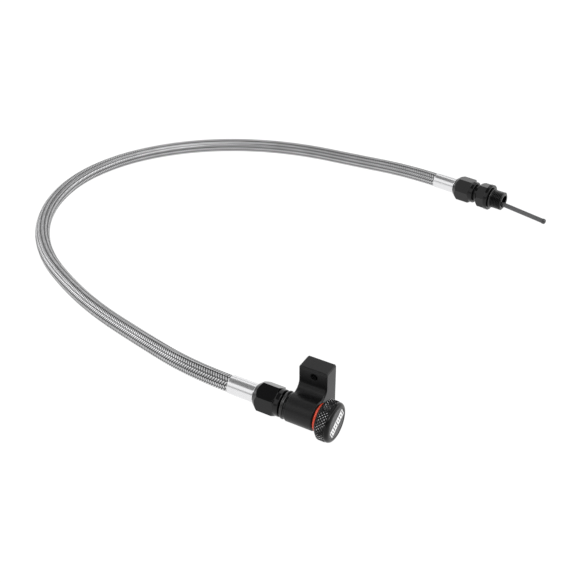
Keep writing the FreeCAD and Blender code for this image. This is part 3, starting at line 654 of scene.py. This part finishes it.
def badge_marks():
    """A plain level scale on the badge's bar: straight ticks, every second one longer."""
    bar = CAP @ Matrix.Translation((BAR_FACE * MM, 0, 0)) @ Matrix.Rotation(BAR_TURN, 4, "X")
    points = []
    faces = []
    for index in range(-4, 5):
        reach = LONG_TICK if index % 2 == 0 else SHORT_TICK
        left = index * TICK_PITCH - TICK_HALF_WIDTH
        right = index * TICK_PITCH + TICK_HALF_WIDTH
        first = len(points)
        for y, z in ((left, -reach), (right, -reach), (right, reach), (left, reach)):
            points.append(bar @ Vector((PRINT_LIFT * MM, y * MM, z * MM)))
        faces.append(tuple(range(first, first + 4)))
    piece = mesh_piece("badge_gauge_sign", points, faces, PRINT_DARK, "cap", smooth=False)


cap_knob()
refined("cap_badge", BADGE_GREY, 0.08)
refined("badge_bar", PRINT_WHITE, 0.04)
badge_marks()


# ---------------------------------------------------------------- stick
# The stick, in mm: its wire strands, its straight end under the cap, and its free end, which
# starts inside the adapter
ROPE_STRANDS = 7
ROPE_LAY = 16.0
ROPE_INNER = 1.82
ROPE_CROWN = 0.18
ROPE_STEP = 0.5
ROPE_AROUND = 56
UPPER_LENGTH = 63.6
TIP_LENGTH = 45.8
TIP_INSIDE = 7.0


def rope(name, place, length, body, node):
    """A twisted wire rope along the place's X axis, closed at both ends."""
    rings = int(length / ROPE_STEP)
    angles = np.linspace(0, 2 * math.pi, ROPE_AROUND, endpoint=False)
    rows = [np.zeros((ROPE_AROUND, 3))]
    for ring_place in np.linspace(0, length, rings):
        wave = np.abs(np.cos(0.5 * ROPE_STRANDS * (angles - 2 * math.pi * ring_place / ROPE_LAY)))
        rows.append(ring(ring_place, ROPE_INNER + ROPE_CROWN * np.sqrt(wave), angles))
    rows.append(np.tile((length, 0.0, 0.0), (ROPE_AROUND, 1)))
    points = placed(np.concatenate(rows), place)
    piece = mesh_piece(name, points, grid_faces(rings + 2, ROPE_AROUND), ROPE, body)
    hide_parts(node)
    return piece


rope("stick_upper_rope", CAP @ Matrix.Translation((-UPPER_LENGTH * MM, 0, 0)), UPPER_LENGTH,
     "stick", "stick_upper")
far_pieces.append(rope("stick_tip_rope", TIP @ Matrix.Translation((-TIP_INSIDE * MM, 0, 0)),
                       TIP_LENGTH, "stick_end", "stick_tip"))
far_pieces.append(refined("tip_ferrule", ROPE_DARK, 0.1))
nodes["stick_core"].data.materials.clear()
nodes["stick_core"].data.materials.append(ROPE)
far_pieces.append(nodes["stick_core"])

# ---------------------------------------------------------------- stage and light
# The photograph shows no shadow, so the floor is white by its own glow
FLOOR_REACH = 6.0
floor_mesh = bpy.data.meshes.new("floor")
corners = [(-FLOOR_REACH, -FLOOR_REACH, 0), (FLOOR_REACH, -FLOOR_REACH, 0),
           (FLOOR_REACH, FLOOR_REACH, 0), (-FLOOR_REACH, FLOOR_REACH, 0)]
floor_mesh.from_pydata(corners, [], [(0, 1, 2, 3)])
floor = linked("floor", floor_mesh)
floor_paint = bpy.data.materials.new("floor_paint")
floor_paint.use_nodes = True
floor_shader = floor_paint.node_tree.nodes["Principled BSDF"]
floor_shader.inputs["Base Color"].default_value = (0.06, 0.06, 0.06, 1)
floor_shader.inputs["Roughness"].default_value = 0.9
floor_shader.inputs["Specular IOR Level"].default_value = 0.0
floor_shader.inputs["Emission Color"].default_value = (1, 1, 1, 1)
floor_shader.inputs["Emission Strength"].default_value = 1.0
floor_mesh.materials.append(floor_paint)


# Light comes from a plain bright sky with soft lamps and dark cards painted in it. A row holds
# the azimuth of one, from +X towards +Y, and its height, then half its width and half its
# height, all in degrees, how much it rises per degree of azimuth, and its radiance.
SKY = 1.15
STUDIO = (
    (340, 4, 50, 7, 0.0, 0.5),
    (235, 10, 25, 7, 0.0, 0.5),
    (292, 26, 42, 11, 0.0, 0.4),
    (25, 57, 34, 7, -0.35, 0.35),
    (78, 38, 34, 8, -0.3, 0.3),
    (140, 28, 24, 6, 0.0, 0.5),
    (185, 62, 55, 11, 0.0, 0.2),
    (18, 31, 46, 8, -0.5, 2.6),
    (188, 25, 13, 20, 0.0, 2.4),
    (318, 48, 12, 7, 0.0, 8.0),
)
# The width of their soft edges, in degrees
CARD_EDGE = 4.0


def studio_world():
    """The sky, with the lamps and cards laid over it in turn by direction."""
    world = bpy.data.worlds.new("world")
    world.use_nodes = True
    make = node_maker(world)
    math_node = math_maker(world)

    def within(offset, half):
        inside = math_node("SUBTRACT", half, math_node("ABSOLUTE", offset))
        edge = make("ShaderNodeMapRange", Value=inside, interpolation_type="SMOOTHSTEP")
        edge.inputs["From Min"].default_value = -0.5 * math.radians(CARD_EDGE)
        edge.inputs["From Max"].default_value = 0.5 * math.radians(CARD_EDGE)
        return edge.outputs["Result"]

    def blend(base, top, mask):
        return math_node("ADD", base, math_node("MULTIPLY", math_node("SUBTRACT", top, base), mask))

    split = make("ShaderNodeSeparateXYZ", Vector=make("ShaderNodeTexCoord").outputs["Generated"])
    east, north, rise = (split.outputs[axis] for axis in "XYZ")
    height = math_node("ARCSINE", rise)
    radiance = SKY
    for azimuth, middle, half_width, half_height, slope, strength in STUDIO:
        cosine = math.cos(math.radians(azimuth))
        sine = math.sin(math.radians(azimuth))
        ahead = math_node("ADD", math_node("MULTIPLY", east, cosine),
                          math_node("MULTIPLY", north, sine))
        aside = math_node("SUBTRACT", math_node("MULTIPLY", north, cosine),
                          math_node("MULTIPLY", east, sine))
        turn = math_node("ARCTAN2", aside, ahead)
        lifted = math_node("SUBTRACT", height, math_node("MULTIPLY_ADD", turn, slope,
                                                         math.radians(middle)))
        mask = math_node("MULTIPLY", within(turn, math.radians(half_width)),
                         within(lifted, math.radians(half_height)))
        radiance = blend(radiance, strength, mask)
    background = world.node_tree.nodes["Background"]
    background.inputs["Color"].default_value = (1, 1, 1, 1)
    world.node_tree.links.new(radiance, background.inputs["Strength"])
    return world


scene.world = studio_world()
